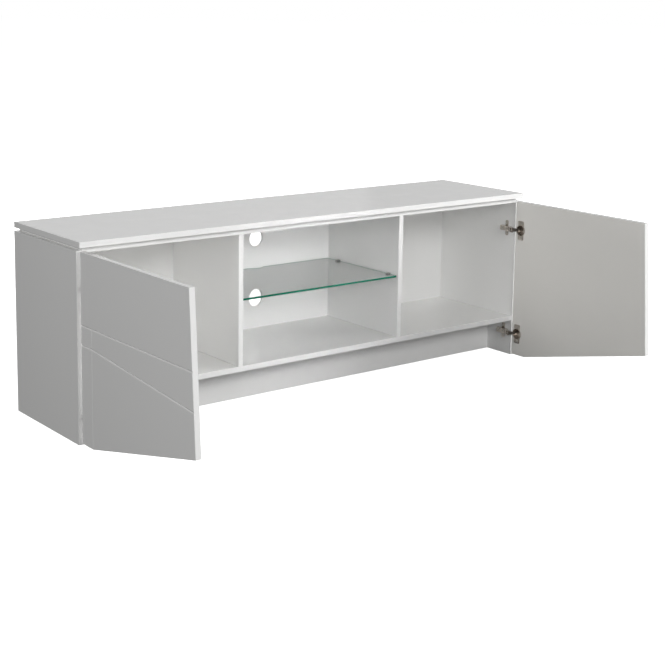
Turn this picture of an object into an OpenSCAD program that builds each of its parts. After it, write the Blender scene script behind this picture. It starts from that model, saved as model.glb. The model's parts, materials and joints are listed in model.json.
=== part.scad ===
/* [Overall] */
// Width over the side panels
width = 1600; // [1500:10:1800]
// Depth of the top board
depth = 380; // [360:5:450]
// Height of the top surface above the floor
height = 538; // [520:1:600]
// Thickness of the boards and doors
board_t = 16; // [16:1:18]
// Arris taken off every board edge
arris = 0.8; // [0.4:0.1:1.5]

/* [Carcass] */
// Gap shown between the top board and the side panels
shadow_gap = 9; // [5:1:14]
// Front overhang of the top board, which covers the closed doors
overhang = 18; // [18:1:22]
// Underside of the bottom panel above the floor
bottom_clearance = 115; // [112:1:130]
// Setback of the plinth behind the top board's front edge
plinth_setback = 125; // [110:1:160]
// Clear width of the open middle bay
middle_bay = 570; // [480:5:620]
// Thickness of the back panel
back_t = 8; // [4:1:12]
// Distance from the back panel to the rear edge of the carcass
back_inset = 10; // [4:1:20]
// Depth of the grooves that hold the back panel
groove_d = 5; // [3:1:6]
// Diameter of the cable holes
cable_hole_d = 50; // [40:1:70]

/* [Glass shelf] */
// Thickness of the glass
glass_t = 6; // [5:1:8]
// Height of the glass underside above the floor
glass_z = 317; // [280:1:350]
// Side gap between the glass and each divider
glass_gap = 2; // [1.5:0.5:4]
// Width of the cable notch in the rear edge
notch_w = 56; // [40:1:70]
// Depth of the cable notch
notch_d = 12; // [8:1:20]

/* [Doors] */
// How far the doors stand open, 0 is closed
door_open = 90; // [0:5:105]
// Gap between the closed door and the carcass
door_gap = 2; // [1.5:0.5:2]
// Inset of the door's hinge edge from the side panel's outer face
door_inset = 1.5; // [1:0.5:2]
// Door width at its top edge
door_w_top = 514; // [400:1:560]
// Door width at its lowest free corner
door_w_low = 541; // [420:1:580]
// Length of the level foot of the door next to the hinges
door_foot = 56; // [50:1:80]
// Height of the door's foot above the floor
door_foot_z = 6; // [4:1:12]
// Height of the door's lowest free corner
door_low_z = 118; // [112:1:130]
// Height of the level decorative groove
groove_high_z = 321; // [300:1:340]
// Height of the lower groove at the hinge side
groove_low_z = 269; // [250:1:285]
// Height of the lower groove at the free edge
groove_end_z = 226; // [200:1:240]
// Width of the decorative grooves
deco_w = 6; // [3:0.5:8]

/* [Hinges] */
// Height of the lower hinge, below the bottom panel
hinge_low_z = 77; // [70:1:80]
// Height of the upper hinge
hinge_high_z = 419; // [400:1:440]
// Distance of the cup's centre from the door edge
cup_edge = 22.5; // [22:0.5:23]

/* [Hidden] */
$fn = 64;

e = 0.01;
// The origin is on the floor, midway along the plinth and midway through its thickness.
front_y = -(plinth_setback + board_t / 2);
rear_y = front_y + depth;
panel_y = front_y + overhang;
back_y = rear_y - back_inset - back_t;
half_w = width / 2;
inner_x = half_w - board_t;
top_z = height - board_t;
side_h = top_z - shadow_gap;
sub_z = top_z - board_t;
floor_z = bottom_clearance + board_t;
divider_x = middle_bay / 2 + board_t / 2;
divider_edge_x = middle_bay / 2;
top_arris = 1.2;
glass_arris = 0.7;
glass_front_set = 23;
glass_back_gap = 1;
door_top_play = 0.5;
deco_slope = 0.3;
door_back = overhang - door_gap;
door_front = door_back - board_t;
door_top_z = side_h - door_top_play;
hinge_zs = [hinge_low_z, hinge_high_z];

// Turning axis of the door, from the side panel's outer face and the top board's front edge
axis_x = 8.3;
axis_y = door_front + 2.3;

// Hinge hardware
plate_t = 2;
plate_y = 53;
plate_y0 = 34;
plate_y1 = 70;
plate_half = 7;
wing_r = 6;
wing_reach = 19;
plate_screw_dz = 16;
rail_t = 4;
rail_y0 = 38;
rail_y1 = 66;
rail_half = 4.8;
arm_gauge = 1.2;
arm_half = 7.5;
arm_rear = 72;
arm_roof = 29;
arm_foot = 20;
arm_eye_r = 3.2;
// Outer and inner lines of the arm's roof, x away from the side panel and y towards the rear
roof_line = [[36.5, 21], [33, 29], [arm_roof, 36], [arm_roof, arm_rear]];
roof_inner_line = [[arm_roof - arm_gauge, arm_rear], [arm_roof - arm_gauge, 35.6], [31.9, 28.4], [35.3, 20.6]];
cheek_knee = [24, 28];
cheek_rise_y = 40;
pin_x = 34;
pin_y = 13.5;
pin_r = 1.5;
pin_play = 0.05;
pin_head_r = 2.3;
pin_head_t = 0.7;
link_t = 2;
link_eye_r = 3;
link_half = 4.5;
link_wide = 6;
link_reach = 11;
link_bar_t = 1.8;
link_ratio = 0.35;
link_turn = -link_ratio * (90 - door_open);
link_elbow = [-11.5, -15.5];
link_end = [-17.9, -13.2];
cup_r = 17.5;
cup_wall = 1;
cup_depth = 12.3;
cup_floor = 0.8;
flange_t = 1.2;
flange_s = 23.5;
flange_w = 24;
flange_h = 62;
flange_corner_r = 4;
rim_r = 18.2;
rim_t = 1;
cup_screw_dz = 24;
cup_screw_s = cup_edge + 6;
screw_r = 1.75;
screw_hole_r = 2;
pilot_r = 1.8;
screw_head_r = 3.6;
screw_head_t = 1.6;
screw_bite = 11;
screw_slot_w = 0.9;
screw_slot_l = 4.8;
arm_screw_ys = [43, 60];

// Carcass fittings
dowel_r = 4;
dowel_short = 10;
dowel_long = 20;
dowel_play = 0.5;
dowel_ys = [front_y + 60, back_y - 32];
cam_ys = [front_y + 105, back_y - 77];
cam_r = 7.5;
cam_h = 12;
cam_reach = 34;
cam_bolt_r = 3;
cam_bolt_bite = 11;
cam_bolt_catch = 3;
divider_screw_r = 3.5;
divider_screw_l = 50;
divider_head_r = 5;
divider_head_t = 3;
top_screw_r = 2;
top_screw_l = 27;
end_inset = 200;
top_screw_xs = [-half_w + end_inset, 0, half_w - end_inset];
lap_w = 10;
lap_rise = 1;
lap_play = 0.2;
lap_y0 = panel_y + 14;
lap_y1 = back_y - 4;
lap_screw_r = 1.75;
lap_screw_l = 30;
lap_head_r = 3.2;
lap_head_t = 1.5;
lap_screw_ys = [dowel_ys[0], (dowel_ys[0] + dowel_ys[1]) / 2, dowel_ys[1]];
plinth_dowel_zs = [30, 85];
plinth_dowel_xs = [for (k = [-1, -1 / 3, 1 / 3, 1]) k * (half_w - end_inset)];

// Shelf supports
support_l = 12;
support_w = 10;
support_seat = 6;
support_jaw = 3;
support_wall = 1.5;
support_pin_r = 2.5;
support_pin_l = 9;
support_ys = [front_y + 58, back_y - 58];

white = "gainsboro";
steel = "dimgray";

// Rectangle with its corners cut at 45 degrees
module cut_rect(a, b, c) {
    polygon([[c, 0], [a - c, 0], [a, c], [a, b - c], [a - c, b], [c, b], [0, b - c], [0, c]]);
}

// Board from corner p with size s and an arris on every edge
module board(p, s, c = arris) {
    translate(p) intersection() {
        linear_extrude(s.z) cut_rect(s.x, s.y, c);
        translate([0, s.y, 0]) rotate([90, 0, 0]) linear_extrude(s.y) cut_rect(s.x, s.z, c);
        rotate([90, 0, 90]) linear_extrude(s.x) cut_rect(s.y, s.z, c);
    }
}

// Cylinder that starts at p and runs along +X, or along -X when l is negative
module rod_x(p, r, l) {
    translate([min(p.x, p.x + l), p.y, p.z]) rotate([0, 90, 0]) cylinder(r = r, h = abs(l));
}

// Side-panel frame: x from the outer face inwards, y from the top board's front edge
module on_side(side) {
    if (side == "left") translate([-half_w, front_y, 0]) children();
    else mirror([1, 0, 0]) translate([-half_w, front_y, 0]) children();
}

// Turns a closed door's parts to where the door stands
module opened() {
    translate([axis_x, axis_y, 0]) rotate([0, 0, -door_open]) translate([-axis_x, -axis_y, 0]) children();
}

// ---- Fittings, used both as solids and as the holes that take them ----

// Dowels along X between the side panels and the bottom panel; grow lengthens them for their holes
module end_dowels(grow = 0) {
    for (side = [-1, 1], y = dowel_ys)
        rod_x([side * (inner_x + dowel_short + grow), y, bottom_clearance + board_t / 2], dowel_r,
            -side * (dowel_short + dowel_long + 2 * grow));
}

// Dowels along Z between the dividers and the boards above and below
module divider_dowels(grow = 0) {
    for (x = [-divider_x, divider_x], y = dowel_ys, z = [sub_z - dowel_long, floor_z - dowel_short])
        translate([x, y, z - grow]) cylinder(r = dowel_r, h = dowel_long + dowel_short + 2 * grow);
}

// Dowels that hold the plinth to the side panels and to the bottom panel
module plinth_dowel_set(grow = 0) {
    for (side = [-1, 1], z = plinth_dowel_zs)
        rod_x([side * (inner_x + dowel_short + grow), 0, z], dowel_r,
            -side * (dowel_short + dowel_long + 2 * grow));
    for (x = plinth_dowel_xs) translate([x, 0, bottom_clearance - dowel_long - grow])
        cylinder(r = dowel_r, h = dowel_long + dowel_short + 2 * grow);
}

// Cam bolts, screwed into the side panels and caught by the cams
module bolt_set(grow = 0) {
    for (side = [-1, 1], y = cam_ys)
        rod_x([side * (inner_x + cam_bolt_bite + grow), y, bottom_clearance + board_t / 2], cam_bolt_r,
            -side * (cam_bolt_bite + cam_reach - cam_bolt_catch + 2 * grow));
}

// Places for the cams, in the underside of the bottom panel
module at_cams() {
    for (side = [-1, 1], y = cam_ys) translate([side * (inner_x - cam_reach), y, bottom_clearance]) children();
}

// Cross recess for a driver, in a face at z = 0 with the metal above it
module cross_recess(span, deep) {
    translate([-span / 2, -0.5, -e]) cube([span, 1, deep + e]);
    translate([-0.5, -span / 2, -e]) cube([1, span, deep + e]);
}

// Screw along +Z with its head flush at z = 0; the head is drawn longer by cut to open a hole for it
module flush_screw(r, l, head_r, head_t, cut) {
    cylinder(r = r, h = l);
    translate([0, 0, -cut]) cylinder(r = head_r, h = head_t + cut);
}

// Places for the screws into the dividers' ends, from below the bottom panel and from above the sub-top
module at_divider_screws() {
    for (x = [-divider_x, divider_x], y = cam_ys) {
        translate([x, y, bottom_clearance]) children();
        translate([x, y, top_z]) rotate([180, 0, 0]) children();
    }
}

module divider_screw_holes() {
    at_divider_screws() flush_screw(divider_screw_r, divider_screw_l, divider_head_r, divider_head_t, 1);
}

// Places for the screws that hold the top board, driven from under the sub-top
module at_top_screws() {
    for (x = top_screw_xs, y = dowel_ys) translate([x, y, sub_z]) children();
}

module top_screw_holes() {
    at_top_screws() flush_screw(top_screw_r, top_screw_l, screw_head_r, screw_head_t, 1);
}

// Places for the screws through the sub-top's laps into the side panels, driven downwards
module at_lap_screws() {
    for (side = [-1, 1], y = lap_screw_ys)
        translate([side * (inner_x + lap_w / 2), y, side_h]) rotate([180, 0, 0]) children();
}

module lap_screw_holes() {
    at_lap_screws() flush_screw(lap_screw_r, lap_screw_l, lap_head_r, lap_head_t, 1);
}

// Laps at the sub-top's ends, which lie in rebates in the side panels' upper edges; grow makes the rebates
module laps(grow = 0, rise = 0) {
    w = lap_w + 2 + grow;
    for (x = [inner_x - 2, -inner_x + 2 - w]) translate([x, lap_y0 - grow, sub_z + lap_rise])
        cube([w, lap_y1 - lap_y0 + 2 * grow, side_h - sub_z - lap_rise + rise]);
}

// ---- Carcass ----

module top_board() {
    color(white) difference() {
        board([-half_w, front_y, top_z], [width, depth, board_t], top_arris);
        top_screw_holes();
    }
}

module back_blank() {
    x = inner_x + groove_d;
    z = floor_z - groove_d;
    translate([-x, back_y, z]) cube([2 * x, back_t, sub_z + groove_d - z]);
}

module sub_top() {
    color(white) difference() {
        union() {
            board([-inner_x, panel_y, sub_z], [2 * inner_x, rear_y - panel_y, board_t]);
            laps();
        }
        back_blank();
        divider_dowels(dowel_play);
        divider_screw_holes();
        top_screw_holes();
        lap_screw_holes();
    }
}

module side_panel(side) {
    color(white) difference() {
        on_side(side) board([0, overhang, 0], [board_t, depth - overhang, side_h]);
        laps(lap_play, 1);
        lap_screw_holes();
        back_blank();
        end_dowels(dowel_play);
        plinth_dowel_set(dowel_play);
        bolt_set(dowel_play);
        for (z = hinge_zs, dz = [-plate_screw_dz, plate_screw_dz])
            on_side(side) rod_x([board_t + e, plate_y, z + dz], pilot_r, -screw_bite - 1);
    }
}

module divider(dir) {
    color(white) difference() {
        board([dir * divider_x - board_t / 2, panel_y, floor_z], [board_t, back_y - panel_y, sub_z - floor_z]);
        divider_dowels(dowel_play);
        divider_screw_holes();
        support_pins(dir, 0.05);
    }
}

module bottom_panel() {
    color(white) difference() {
        board([-inner_x, panel_y, bottom_clearance], [2 * inner_x, rear_y - panel_y, board_t]);
        back_blank();
        end_dowels(dowel_play);
        divider_dowels(dowel_play);
        plinth_dowel_set(dowel_play);
        bolt_set();
        at_cams() translate([0, 0, -1]) cylinder(r = cam_r, h = cam_h + 1);
        divider_screw_holes();
    }
}

module plinth() {
    color(white) difference() {
        board([-inner_x, -board_t / 2, 0], [2 * inner_x, board_t, bottom_clearance]);
        plinth_dowel_set(dowel_play);
    }
}

module back_panel() {
    spaces = [[floor_z, glass_z], [glass_z + glass_t, sub_z]];
    color("whitesmoke") difference() {
        back_blank();
        for (s = spaces) translate([0, back_y - e, (s[0] + s[1]) / 2])
            rotate([-90, 0, 0]) cylinder(d = cable_hole_d, h = back_t + 2 * e);
    }
}

// ---- Glass shelf ----

module glass_shelf() {
    w = middle_bay - 2 * glass_gap;
    y0 = front_y + glass_front_set;
    y1 = back_y - glass_back_gap;
    notch_r = (notch_w * notch_w / 4 + notch_d * notch_d) / (2 * notch_d);
    color([0.75, 0.9, 0.85, 0.4]) difference() {
        board([-w / 2, y0, glass_z], [w, y1 - y0, glass_t], glass_arris);
        translate([0, y1 + notch_r - notch_d, glass_z - e])
            cylinder(r = notch_r, h = glass_t + 2 * e, $fn = 128);
    }
}

// Pins of the supports on one divider; grow widens them for the holes
module support_pins(dir, grow = 0) {
    for (y = support_ys) rod_x([dir * divider_edge_x, y, glass_z - support_seat / 2],
        support_pin_r + grow, dir * (support_pin_l + grow));
}

// Each support grips the glass between a seat and a jaw
module shelf_supports() {
    h = support_seat + glass_t + support_jaw;
    color(steel) for (dir = [-1, 1]) {
        support_pins(dir);
        for (y = support_ys) translate([dir * divider_edge_x, y, glass_z - support_seat])
            mirror([dir < 0 ? 0 : 1, 0, 0]) translate([0, -support_w / 2, 0]) {
                cube([support_wall, support_w, h]);
                cube([support_l, support_w, support_seat]);
                translate([0, 0, h - support_jaw]) cube([support_l, support_w, support_jaw]);
            }
    }
}

// ---- Doors ----

// Door outline, s along the width from the hinge edge and z up, drawn smaller all round by c
module door_outline(c = 0) {
    slope = (door_low_z - door_foot_z) / (door_w_low - door_foot);
    lean = (door_w_low - door_w_top) / (door_top_z - door_low_z);
    low_s = door_w_low - c;
    polygon([[c, door_foot_z + c], [door_foot, door_foot_z + c], [low_s, door_low_z + c - slope * c],
        [low_s - lean * (door_top_z - door_low_z - 2 * c), door_top_z - c], [c, door_top_z - c]]);
}

module door_slab() {
    hull() {
        translate([0, arris, 0]) slab_layer(board_t - 2 * arris, 0);
        slab_layer(board_t, arris);
    }
}

module slab_layer(t, c) {
    translate([door_inset, door_front + t, 0]) rotate([90, 0, 0]) linear_extrude(t) door_outline(c);
}

// V-groove in the door's outer face from a to b, both as [s, z]
module deco_groove(a, b, w = deco_w) {
    run = b - a;
    l = norm(run);
    translate([door_inset + a[0], door_front, a[1]]) rotate([0, -atan2(run[1], run[0]), 0])
        rotate([90, 0, 90]) linear_extrude(l)
            polygon([[-1, -w / 2], [0, -w / 2], [w * deco_slope, 0], [0, w / 2], [-1, w / 2]]);
}

module door(side) {
    end_s = door_w_low + 5;
    color(white) on_side(side) opened() difference() {
        door_slab();
        for (z = hinge_zs) {
            translate([door_inset + cup_edge, door_back - cup_depth, z]) rotate([-90, 0, 0])
                cylinder(r = cup_r, h = cup_depth + 1);
            for (dz = [-cup_screw_dz, cup_screw_dz])
                translate([door_inset + cup_screw_s, door_back - screw_bite - 0.5, z + dz]) rotate([-90, 0, 0])
                    cylinder(r = pilot_r, h = screw_bite + 1.5);
        }
        deco_groove([-5, groove_high_z], [end_s, groove_high_z]);
        deco_groove([-5, groove_low_z], [door_foot, groove_low_z]);
        deco_groove([door_foot, groove_low_z], [end_s, groove_end_z]);
        deco_groove([door_foot, -5], [door_foot, groove_high_z], deco_w / 3);
    }
}

// ---- Hinge pieces ----

// Pan-head screw about the Z axis: the head stands on z = 0 and the tip is at -l
module pan_screw(l) {
    difference() {
        union() {
            translate([0, 0, -l]) cylinder(r = screw_r, h = l + e);
            cylinder(r = screw_head_r, h = screw_head_t);
        }
        for (turn = [0, 90]) rotate(turn)
            translate([-screw_slot_l / 2, -screw_slot_w / 2, screw_head_t - screw_slot_w])
                cube([screw_slot_l, screw_slot_w, 1]);
    }
}

module hinge_plate(side, z) {
    color(steel) on_side(side) translate([board_t, 0, z]) difference() {
        union() {
            translate([0, plate_y0, -plate_half]) cube([plate_t, plate_y1 - plate_y0, 2 * plate_half]);
            translate([0, plate_y - wing_r, -wing_reach]) cube([plate_t, 2 * wing_r, 2 * wing_reach]);
            for (dz = [-wing_reach, wing_reach]) rod_x([0, plate_y, dz], wing_r, plate_t);
            translate([plate_t - e, rail_y0, -rail_half]) cube([rail_t + e, rail_y1 - rail_y0, 2 * rail_half]);
        }
        for (dz = [-plate_screw_dz, plate_screw_dz]) rod_x([-1, plate_y, dz], screw_hole_r, plate_t + 2);
    }
}

// Outline of the arm's cheeks
module arm_cheek() {
    difference() {
        union() {
            polygon(concat([[arm_foot, arm_rear], [arm_foot, cheek_rise_y], cheek_knee, [pin_x - arm_eye_r, pin_y],
                [pin_x + arm_eye_r, pin_y]], roof_line));
            translate([pin_x, pin_y]) circle(r = arm_eye_r);
        }
        translate([pin_x, pin_y]) circle(r = pin_r);
    }
}

module hinge_arm(side, z) {
    color(steel) on_side(side) translate([0, 0, z]) difference() {
        union() {
            for (z0 = [-arm_half, arm_half - arm_gauge])
                translate([0, 0, z0]) linear_extrude(arm_gauge) arm_cheek();
            translate([0, 0, -arm_half + e]) linear_extrude(2 * (arm_half - e))
                polygon(concat(roof_line, roof_inner_line));
        }
        for (y = arm_screw_ys) rod_x([arm_roof - 3, y, 0], screw_hole_r, 6);
    }
}

// Plan of the bent link from the arm's pin into the cup; its cup end is free
module link_shape() {
    runs = [link_elbow, link_end - link_elbow];
    u = [for (v = runs) [-v[1], v[0]] / norm(v)];
    mitre = (u[0] + u[1]) / (1 + u[0] * u[1]) * link_t / 2;
    side_a = u[0] * link_t / 2;
    side_b = u[1] * link_t / 2;
    polygon([side_a, link_elbow + mitre, link_end + side_b, link_end - side_b, link_elbow - mitre, -side_a]);
}

module hinge_link(side, z) {
    color(steel) on_side(side) translate([pin_x, pin_y, z]) rotate([0, 0, link_turn]) difference() {
        union() {
            translate([0, 0, -link_wide]) cylinder(r = link_eye_r, h = 2 * link_wide);
            translate([0, 0, -link_half]) linear_extrude(2 * link_half) link_shape();
            rotate(atan2(link_elbow[1], link_elbow[0])) translate([0, -link_bar_t / 2, -link_wide])
                cube([link_reach, link_bar_t, 2 * link_wide]);
        }
        translate([0, 0, -link_wide - 1]) cylinder(r = pin_r + pin_play, h = 2 * link_wide + 2);
    }
}

// Rectangle of size a by b with corners of radius r, centred
module round_rect(a, b, r) {
    square([a, b - 2 * r], center = true);
    square([a - 2 * r, b], center = true);
    for (x = [r - a / 2, a / 2 - r], y = [r - b / 2, b / 2 - r]) translate([x, y]) circle(r = r);
}

module hinge_cup(side, z) {
    color(steel) on_side(side) opened() translate([door_inset, door_back, z]) rotate([-90, 0, 0]) difference() {
        union() {
            translate([cup_edge, 0, -cup_depth]) cylinder(r = cup_r, h = cup_depth + e);
            translate([cup_edge, 0, 0]) cylinder(r = rim_r, h = rim_t);
            translate([flange_s, 0, 0]) linear_extrude(flange_t)
                round_rect(flange_w, flange_h, flange_corner_r);
        }
        translate([cup_edge, 0, -cup_depth + cup_floor])
            cylinder(r = cup_r - cup_wall, h = cup_depth + flange_t);
        for (dz = [-cup_screw_dz, cup_screw_dz])
            translate([cup_screw_s, dz, -1]) cylinder(r = screw_hole_r, h = flange_t + 2);
    }
}

module hinge_link_pins() {
    color("silver") for (side = ["left", "right"], z = hinge_zs) on_side(side) translate([pin_x, pin_y, z]) {
        translate([0, 0, -arm_half]) cylinder(r = pin_r, h = 2 * arm_half);
        for (z0 = [-arm_half - pin_head_t, arm_half])
            translate([0, 0, z0]) cylinder(r = pin_head_r, h = pin_head_t);
    }
}

module hinge_plate_screws() {
    color("silver") for (side = ["left", "right"], z = hinge_zs, dz = [-plate_screw_dz, plate_screw_dz])
        on_side(side) translate([board_t + plate_t, plate_y, z + dz]) rotate([0, 90, 0]) pan_screw(screw_bite);
}

module hinge_arm_screws() {
    color("silver") for (side = ["left", "right"], z = hinge_zs, y = arm_screw_ys)
        on_side(side) translate([arm_roof, y, z]) rotate([0, 90, 0])
            pan_screw(arm_roof - board_t - plate_t - rail_t);
}

module cup_screws(side) {
    color("silver") on_side(side) opened() for (z = hinge_zs, dz = [-cup_screw_dz, cup_screw_dz])
        translate([door_inset + cup_screw_s, door_back + flange_t, z + dz]) rotate([-90, 0, 0])
            pan_screw(screw_bite);
}

module panel_dowels() {
    color("burlywood") {
        end_dowels();
        divider_dowels();
    }
}

module plinth_dowels() {
    color("burlywood") plinth_dowel_set();
}

module divider_screws() {
    color("silver") at_divider_screws() difference() {
        flush_screw(divider_screw_r, divider_screw_l, divider_head_r, divider_head_t, 0);
        cross_recess(6, 2);
    }
}

module top_board_screws() {
    color("silver") at_top_screws() difference() {
        flush_screw(top_screw_r, top_screw_l, screw_head_r, screw_head_t, 0);
        cross_recess(4.8, 0.9);
    }
}

module sub_top_screws() {
    color("silver") at_lap_screws() difference() {
        flush_screw(lap_screw_r, lap_screw_l, lap_head_r, lap_head_t, 0);
        cross_recess(4, 0.9);
    }
}

module cam_bolts() {
    color("silver") bolt_set();
}

module cam_locks() {
    color("silver") difference() {
        at_cams() difference() {
            cylinder(r = cam_r, h = cam_h);
            cross_recess(10, 2);
        }
        bolt_set(0.3);
    }
}

top_board();
sub_top();
side_panel("left");  // left_side_panel
side_panel("right");  // right_side_panel
divider(-1);  // left_divider
divider(1);  // right_divider
bottom_panel();
plinth();
back_panel();
glass_shelf();
shelf_supports();
door("left");  // left_door
door("right");  // right_door
hinge_plate("left", hinge_high_z);  // left_upper_hinge_plate
hinge_plate("left", hinge_low_z);  // left_lower_hinge_plate
hinge_plate("right", hinge_high_z);  // right_upper_hinge_plate
hinge_plate("right", hinge_low_z);  // right_lower_hinge_plate
hinge_arm("left", hinge_high_z);  // left_upper_hinge_arm
hinge_arm("left", hinge_low_z);  // left_lower_hinge_arm
hinge_arm("right", hinge_high_z);  // right_upper_hinge_arm
hinge_arm("right", hinge_low_z);  // right_lower_hinge_arm
hinge_link("left", hinge_high_z);  // left_upper_hinge_link
hinge_link("left", hinge_low_z);  // left_lower_hinge_link
hinge_link("right", hinge_high_z);  // right_upper_hinge_link
hinge_link("right", hinge_low_z);  // right_lower_hinge_link
hinge_cup("left", hinge_high_z);  // left_upper_hinge_cup
hinge_cup("left", hinge_low_z);  // left_lower_hinge_cup
hinge_cup("right", hinge_high_z);  // right_upper_hinge_cup
hinge_cup("right", hinge_low_z);  // right_lower_hinge_cup
hinge_link_pins();
hinge_plate_screws();
hinge_arm_screws();
cup_screws("left");  // left_cup_screws
cup_screws("right");  // right_cup_screws
panel_dowels();
plinth_dowels();
divider_screws();
top_board_screws();
sub_top_screws();
cam_bolts();
cam_locks();
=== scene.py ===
"""TV stand with doors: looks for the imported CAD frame. Metres, +Z up, same frame as the CAD."""
import json
import math

import bpy
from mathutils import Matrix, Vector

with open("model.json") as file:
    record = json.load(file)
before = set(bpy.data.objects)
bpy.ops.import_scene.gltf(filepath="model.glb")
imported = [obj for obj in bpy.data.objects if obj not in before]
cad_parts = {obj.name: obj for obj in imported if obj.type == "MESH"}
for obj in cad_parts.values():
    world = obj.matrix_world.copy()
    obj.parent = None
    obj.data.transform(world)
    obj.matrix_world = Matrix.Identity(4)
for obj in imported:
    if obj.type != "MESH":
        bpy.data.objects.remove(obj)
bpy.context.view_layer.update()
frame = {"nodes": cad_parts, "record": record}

NODES = frame["nodes"]

# ---- Camera, at the photograph's viewing angle ----
CAMERA_AT = (-2.360, -3.115, 1.154)
CAMERA_TURN = (80.78, -0.66, -36.99)
CAMERA_LENS = 72.6
CAMERA_SHIFT = (0.049, -0.177)

# ---- Studio ----
FLOOR_RADIUS = 60
WORLD_MEAN = 0.06
WORLD_SLOPE = (0, 0, 0.05)
FLOOR_GLOW = 0.92
# Each softbox: where it is, where it points, its width and height, and its power in watts
SOFTBOXES = {
    "front": ((0.2, -5.5, 0.9), (0, 0, 0.3), (5.0, 1.6), 30),
    "front_left": ((-3.0, -4.8, 1.6), (0, 0, 0.3), (2.5, 2.0), 50),
    "front_high": ((-0.5, -4.2, 2.3), (0, 0, 0.3), (1.0, 1.0), 50),
    "right": ((4.2, -2.9, 1.9), (0, 0, 0.3), (2.5, 2.0), 225),
    "left": ((-5.0, -0.6, 2.2), (0, 0, 0.3), (2.5, 2.0), 75),
    "rear_left": ((2.0, 4.5, 1.6), (2.0, 0, 1.3), (4.1, 2.0), 18),
    "rear_right": ((6.05, 4.5, 1.6), (6.05, 0, 1.3), (4.0, 2.0), 15),
    "middle": ((-0.8, -3.0, 1.1), (0.03, 0.1, 0.28), (0.4, 0.3), 0.2),
    "back_fill": ((-0.2, 4.5, 0.9), (0, 0, 0.3), (1.2, 1.2), 70),
}
# Lamps with a narrow beam, in degrees
BEAMS = {"middle": 13}
# Lamps that the gloss does not mirror
UNMIRRORED = {"right"}
BOARD_TONE = 0.90
BOUNCES = 10


def make_camera():
    data = bpy.data.cameras.new("camera")
    data.lens = CAMERA_LENS
    data.shift_x, data.shift_y = CAMERA_SHIFT
    camera = bpy.data.objects.new("camera", data)
    camera.location = CAMERA_AT
    camera.rotation_euler = [math.radians(a) for a in CAMERA_TURN]
    bpy.context.scene.collection.objects.link(camera)
    bpy.context.scene.camera = camera


# ---- Node helpers ----

def new_tree(material):
    material.use_nodes = True
    tree = material.node_tree
    tree.nodes.clear()
    return tree


def add(tree, kind, inputs=None, **settings):
    """Adds a node, sets its attributes, and sets or links its inputs."""
    made = tree.nodes.new("ShaderNode" + kind)
    for key, value in settings.items():
        setattr(made, key, value)
    for key, value in (inputs or {}).items():
        if isinstance(value, bpy.types.NodeSocket):
            tree.links.new(value, made.inputs[key])
        else:
            made.inputs[key].default_value = value
    return made


def noise(tree, place, scale, detail=2.0, roughness=0.5):
    made = add(tree, "TexNoise", {"Vector": place, "Scale": scale, "Detail": detail, "Roughness": roughness})
    return made.outputs["Fac"]


def spread(tree, value, low, high):
    """Maps the middle of a noise onto low to high."""
    limits = {"From Min": 0.3, "From Max": 0.7, "To Min": low, "To Max": high}
    return add(tree, "MapRange", {"Value": value, **limits}).outputs["Result"]


def blend_colours(tree, factor, low, high):
    made = add(tree, "Mix", data_type="RGBA")
    tree.links.new(factor, made.inputs["Factor"])
    made.inputs[6].default_value = (*low, 1)
    made.inputs[7].default_value = (*high, 1)
    return made.outputs[2]


def bump(tree, height, strength, distance):
    return add(tree, "Bump", {"Height": height, "Strength": strength, "Distance": distance}).outputs["Normal"]


def finish_material(tree, inputs):
    shader = add(tree, "BsdfPrincipled", inputs)
    add(tree, "OutputMaterial", {"Surface": shader.outputs["BSDF"]})


def object_place(tree):
    return add(tree, "TexCoord").outputs["Object"]


# ---- Materials ----

def lacquer(name, tone, gloss, peel=0.05):
    """White lacquer on board: faint clouding, a slight orange peel and uneven gloss."""
    made = bpy.data.materials.new(name)
    tree = new_tree(made)
    place = object_place(tree)
    cloud = noise(tree, place, 2.2, 3)
    low = [c * 0.985 for c in tone]
    colour = blend_colours(tree, cloud, low, tone)
    rough = spread(tree, noise(tree, place, 14, 4), gloss * 0.8, gloss * 1.3)
    skin = noise(tree, place, 320, 2)
    finish_material(tree, {
        "Base Color": colour, "Roughness": rough, "Coat Weight": 0.25, "Coat Roughness": 0.04,
        "Normal": bump(tree, skin, peel, 0.0004),
    })
    return made


def door_finish(name, tone, inward):
    """Gloss lacquer outside; the inner face, which looks along inward times X, is warmer and satin."""
    made = bpy.data.materials.new(name)
    tree = new_tree(made)
    coords = add(tree, "TexCoord")
    place = coords.outputs["Object"]
    parts = add(tree, "SeparateXYZ", {"Vector": coords.outputs["Normal"]})
    facing = add(tree, "Math", {0: parts.outputs["X"], 1: inward}, operation="MULTIPLY").outputs[0]
    inner = add(tree, "Math", {0: facing, 1: 0.9}, operation="GREATER_THAN").outputs[0]
    outer_colour = blend_colours(tree, noise(tree, place, 2.2, 3), [c * 0.985 for c in tone], tone)
    warm = (tone[0] * 0.97, tone[1] * 0.955, tone[2] * 0.925)
    inner_colour = blend_colours(tree, noise(tree, place, 5, 3), [c * 0.98 for c in warm], warm)
    colour = add(tree, "Mix", data_type="RGBA")
    for socket, value in (("Factor", inner), (6, outer_colour), (7, inner_colour)):
        tree.links.new(value, colour.inputs[socket])
    outer_rough = spread(tree, noise(tree, place, 14, 4), 0.10, 0.17)
    inner_rough = spread(tree, noise(tree, place, 60, 3), 0.30, 0.42)
    rough = add(tree, "Mix", {"Factor": inner, 2: outer_rough, 3: inner_rough}).outputs[0]
    gloss = add(tree, "Math", {0: 1.0, 1: inner}, operation="SUBTRACT").outputs[0]
    coat = add(tree, "Math", {0: gloss, 1: 0.25}, operation="MULTIPLY").outputs[0]
    finish_material(tree, {
        "Base Color": colour.outputs[2], "Roughness": rough, "Coat Weight": coat, "Coat Roughness": 0.04,
        "Normal": bump(tree, noise(tree, place, 320, 2), 0.05, 0.0004),
    })
    return made


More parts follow.
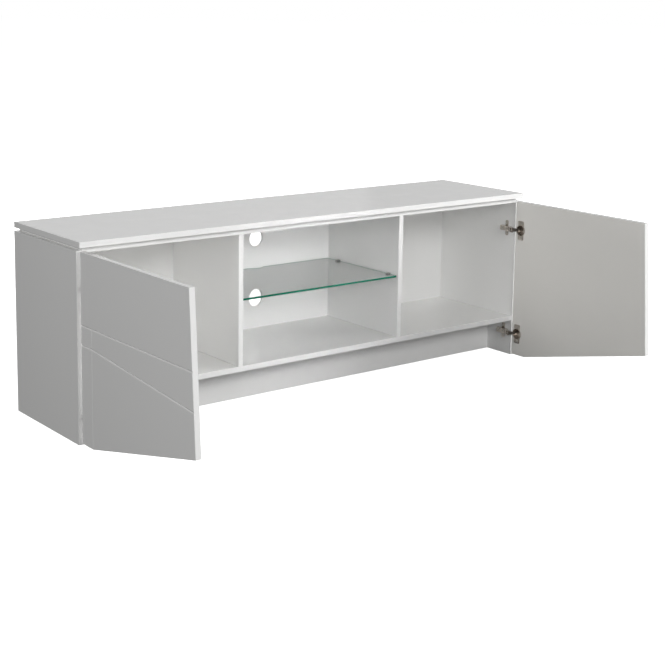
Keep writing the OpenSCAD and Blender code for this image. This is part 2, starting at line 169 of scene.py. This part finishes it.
def laminate(name, tone):
    """Satin white laminate with a fine paper grain."""
    made = bpy.data.materials.new(name)
    tree = new_tree(made)
    place = object_place(tree)
    colour = blend_colours(tree, noise(tree, place, 5, 3), [c * 0.98 for c in tone], tone)
    rough = spread(tree, noise(tree, place, 60, 3), 0.34, 0.46)
    grain = noise(tree, place, 1400, 3)
    finish_material(tree, {
        "Base Color": colour, "Roughness": rough, "Normal": bump(tree, grain, 0.08, 0.0003),
    })
    return made


def plated(name, tone, rough_range, grain_scale):
    """Plated steel with fine drawn lines and cloudy tarnish."""
    made = bpy.data.materials.new(name)
    tree = new_tree(made)
    place = object_place(tree)
    cloud = noise(tree, place, 90, 4)
    colour = blend_colours(tree, cloud, [c * 0.72 for c in tone], tone)
    stretched = add(tree, "Mapping", {"Vector": place, "Scale": (1, 1, 12)}).outputs["Vector"]
    lines = noise(tree, stretched, grain_scale, 3)
    finish_material(tree, {
        "Base Color": colour, "Metallic": 1.0, "Roughness": spread(tree, lines, *rough_range),
        "Normal": bump(tree, lines, 0.15, 0.0002),
    })
    return made


def shelf_glass():
    """Clear float glass whose polished edges are deep green."""
    made = bpy.data.materials.new("shelf_glass")
    tree = new_tree(made)
    coords = add(tree, "TexCoord")
    parts = add(tree, "SeparateXYZ", {"Vector": coords.outputs["Normal"]})
    flat = add(tree, "Math", {0: parts.outputs["Z"]}, operation="ABSOLUTE").outputs[0]
    face = add(tree, "Math", {0: flat, 1: 0.9}, operation="GREATER_THAN").outputs[0]
    streaks = noise(tree, coords.outputs["Object"], 30, 2)
    edge = blend_colours(tree, streaks, (0.015, 0.17, 0.10), (0.03, 0.26, 0.17))
    colour = add(tree, "Mix", data_type="RGBA")
    tree.links.new(face, colour.inputs["Factor"])
    tree.links.new(edge, colour.inputs[6])
    colour.inputs[7].default_value = (0.985, 0.998, 0.99, 1)
    rough = spread(tree, streaks, 0.0, 0.03)
    clear = add(tree, "MapRange", {"Value": face, "To Min": 0.2, "To Max": 1.0}).outputs["Result"]
    finish_material(tree, {
        "Base Color": colour.outputs[2], "Roughness": rough, "IOR": 1.5, "Transmission Weight": clear,
    })
    return made


def beech():
    """Turned beech with a straight grain."""
    made = bpy.data.materials.new("beech")
    tree = new_tree(made)
    place = object_place(tree)
    stretched = add(tree, "Mapping", {"Vector": place, "Scale": (60, 700, 700)}).outputs["Vector"]
    grain = noise(tree, stretched, 1, 4)
    colour = blend_colours(tree, grain, (0.50, 0.33, 0.18), (0.74, 0.55, 0.35))
    finish_material(tree, {"Base Color": colour, "Roughness": 0.6, "Normal": bump(tree, grain, 0.2, 0.0003)})
    return made


def finish_nodes():
    white = (BOARD_TONE, BOARD_TONE, BOARD_TONE * 0.992)
    gloss = lacquer("gloss_white", white, 0.13)
    back = laminate("white_back", (0.88, 0.88, 0.872))
    hinge = plated("hinge_nickel", (0.66, 0.60, 0.54), (0.14, 0.32), 700)
    support = plated("support_nickel", (0.42, 0.41, 0.40), (0.25, 0.45), 700)
    screw = plated("zinc", (0.68, 0.66, 0.62), (0.25, 0.4), 900)
    glass = shelf_glass()
    wood = beech()
    doors = {
        "left_door": door_finish("left_door_white", white, 1),
        "right_door": door_finish("right_door_white", white, -1),
    }
    by_slot = {"gloss_white": gloss, "white_back": back, "hinge_steel": hinge, "support_steel": support,
        "screw_steel": screw, "glass": glass, "beech": wood}
    slots = {part["node"]: part["material_slot"] for part in frame["record"]["subparts"]}
    for name, piece in NODES.items():
        for slot in piece.material_slots:
            slot.material = doors.get(name) or by_slot[slots[name]]


# ---- Studio ----

def make_world():
    """Soft light that is dimmer below, behind a white background."""
    world = bpy.data.worlds.new("studio")
    bpy.context.scene.world = world
    world.use_nodes = True
    tree = world.node_tree
    tree.nodes.clear()
    heading = add(tree, "TexCoord").outputs["Generated"]
    slope = add(tree, "VectorMath", {0: heading, 1: WORLD_SLOPE}, operation="DOT_PRODUCT").outputs["Value"]
    level = add(tree, "Math", {0: slope, 1: WORLD_MEAN}, operation="ADD").outputs[0]
    light = add(tree, "Background", {"Color": (1, 0.995, 0.985, 1), "Strength": level})
    white = add(tree, "Background", {"Color": (1, 1, 1, 1), "Strength": 1.0})
    seen = add(tree, "LightPath").outputs["Is Camera Ray"]
    mixed = add(tree, "MixShader", {0: seen, 1: light.outputs[0], 2: white.outputs[0]})
    add(tree, "OutputWorld", {"Surface": mixed.outputs[0]})


def softbox(name, at, aim, size, power):
    data = bpy.data.lights.new(name, "AREA")
    data.shape = "RECTANGLE"
    data.size, data.size_y = size
    data.energy = power
    data.spread = math.radians(BEAMS.get(name, 180))
    lamp = bpy.data.objects.new(name, data)
    lamp.location = at
    lamp.visible_glossy = name not in UNMIRRORED
    heading = [a - b for a, b in zip(aim, at)]
    lamp.rotation_euler = Vector(heading).to_track_quat("-Z", "Y").to_euler()
    bpy.context.scene.collection.objects.link(lamp)
    return lamp


def make_floor():
    bpy.ops.mesh.primitive_circle_add(vertices=64, radius=FLOOR_RADIUS, fill_type="NGON")
    floor = bpy.context.object
    floor.name = "floor"
    made = bpy.data.materials.new("floor_white")
    tree = new_tree(made)
    finish_material(tree, {
        "Base Color": (0.9, 0.9, 0.9, 1), "Roughness": 0.9, "Specular IOR Level": 0.1,
        "Emission Color": (1, 1, 1, 1), "Emission Strength": FLOOR_GLOW,
    })
    floor.data.materials.append(made)
    floor.visible_diffuse = False
    floor.visible_glossy = False


make_camera()
make_world()
make_floor()
finish_nodes()
for name, (at, aim, size, power) in SOFTBOXES.items():
    softbox(name, at, aim, size, power)
bpy.context.scene.view_settings.view_transform = "Standard"
bpy.context.scene.cycles.max_bounces = BOUNCES
bpy.context.scene.cycles.diffuse_bounces = BOUNCES
